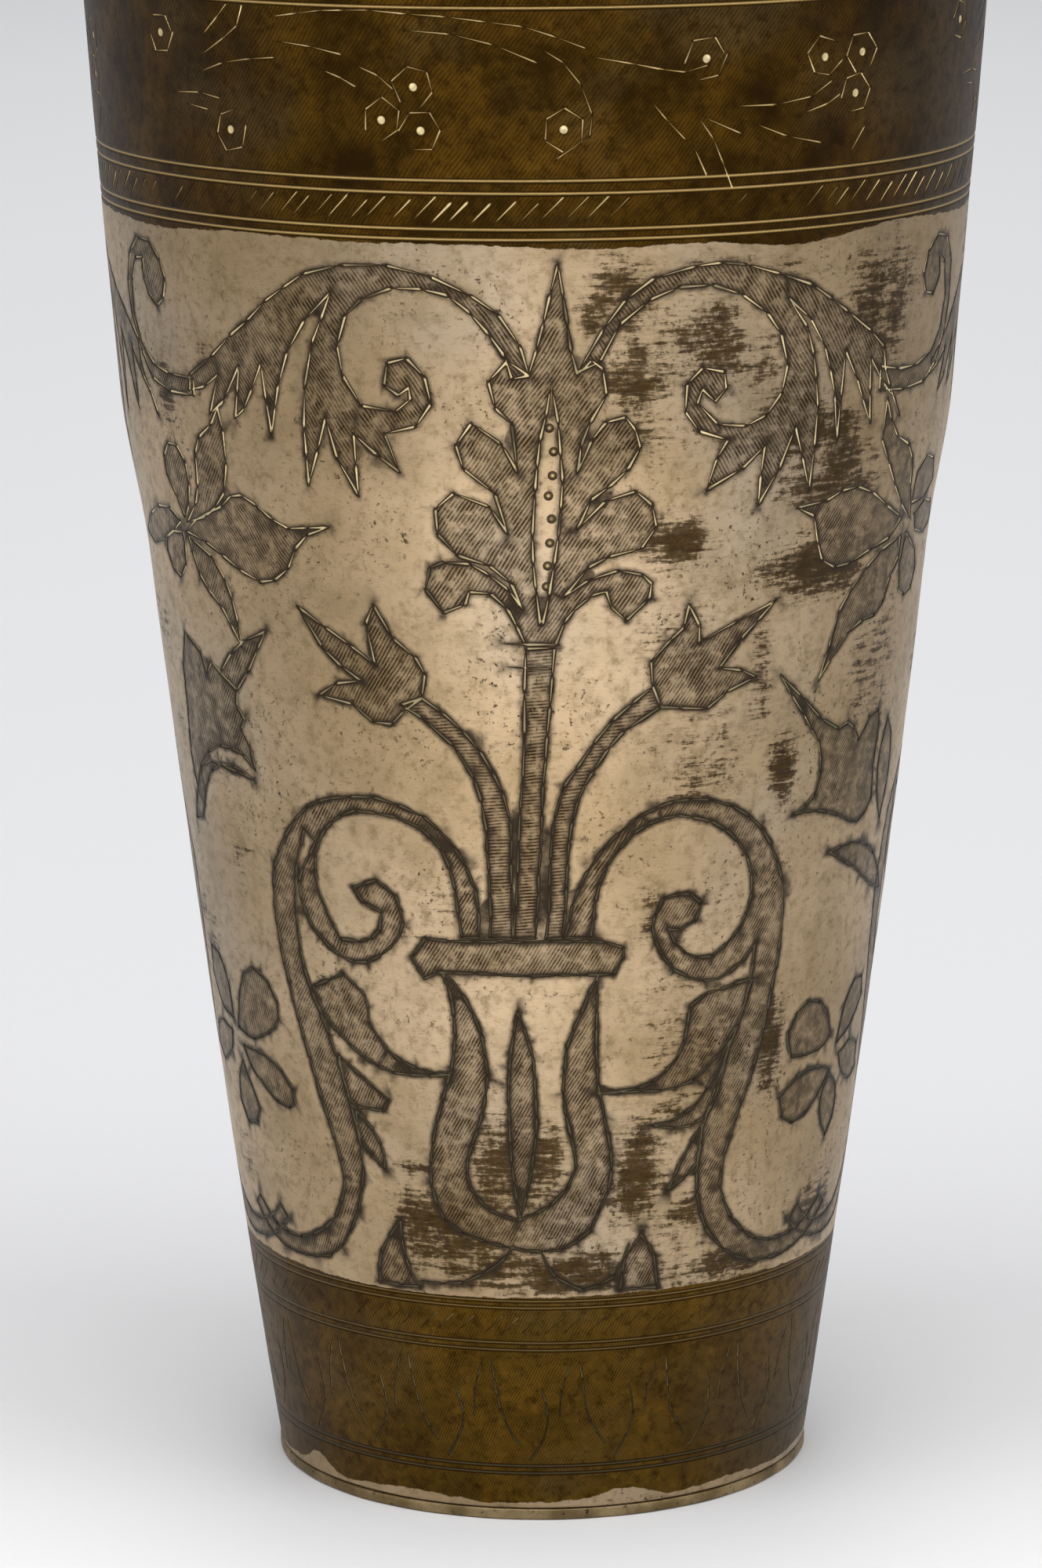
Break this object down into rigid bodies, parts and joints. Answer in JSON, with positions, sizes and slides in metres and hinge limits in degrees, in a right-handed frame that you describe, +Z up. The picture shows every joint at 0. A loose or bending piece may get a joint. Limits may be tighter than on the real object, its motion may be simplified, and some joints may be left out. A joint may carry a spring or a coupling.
{
  "type": "tapered vase pot",
  "caption": "Tall tapering tinned brass pot with a flared wired mouth, a shallow shoulder and a flat soldered base disc; chased floral field between two dark bands.",
  "frame": {"origin": "centre of the underside of the base disc, on the surface that the pot stands on", "axes": "+Z up along the axis of the pot; -Y is the side that the chased centre motif faces"},
  "size_m": [0.169, 0.169, 0.284],
  "materials": {
    "tinned_brass": "worn tin over brass, hand chased, with dark patinated brass bands",
    "base_brass": "tarnished sheet brass with a rubbed edge",
    "solder": "dull grey soft solder",
    "wire_brass": "drawn wire"
  },
  "bodies": {
    "root": {"vessel_wall": "tinned_brass", "base_disc": "base_brass", "solder_seam": "solder", "rim_wire": "wire_brass"}
  },
  "joints": []
}
